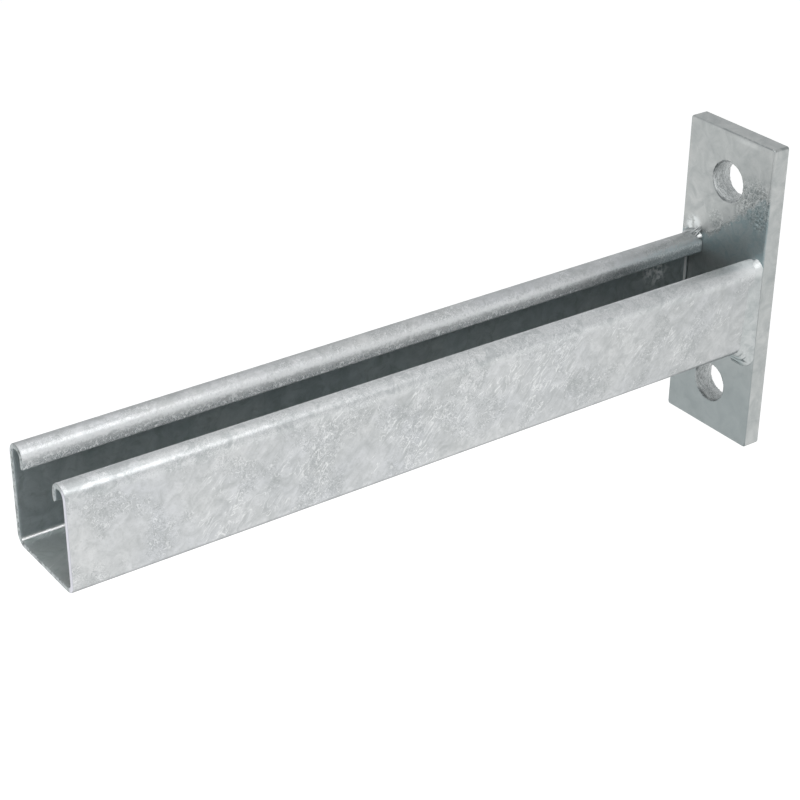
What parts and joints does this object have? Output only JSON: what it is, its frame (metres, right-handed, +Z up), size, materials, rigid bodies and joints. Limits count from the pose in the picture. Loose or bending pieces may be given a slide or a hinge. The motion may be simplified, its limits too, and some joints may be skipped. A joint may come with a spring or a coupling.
{
  "type": "cantilever strut arm",
  "caption": "Wall bracket: a galvanised slotted strut channel, open side up, welded square to an upright back plate with bolt holes above and below it.",
  "frame": {"origin": "on the rear face of the back plate, midway between its two bolt holes", "axes": "+Z up, +X out from the wall along the arm, +Y to the right for someone who faces the wall"},
  "size_m": [0.313, 0.047, 0.132],
  "materials": {
    "zinc_channel": "hot-dip galvanised sheet steel, mottled satin zinc",
    "zinc_plate": "hot-dip galvanised flat bar, even matt zinc",
    "zinc_weld": "weld metal under zinc, smooth and a little brighter"
  },
  "bodies": {
    "root": {"strut_channel": "zinc_channel", "back_plate": "zinc_plate", "right_weld": "zinc_weld", "left_weld": "zinc_weld"}
  },
  "joints": []
}
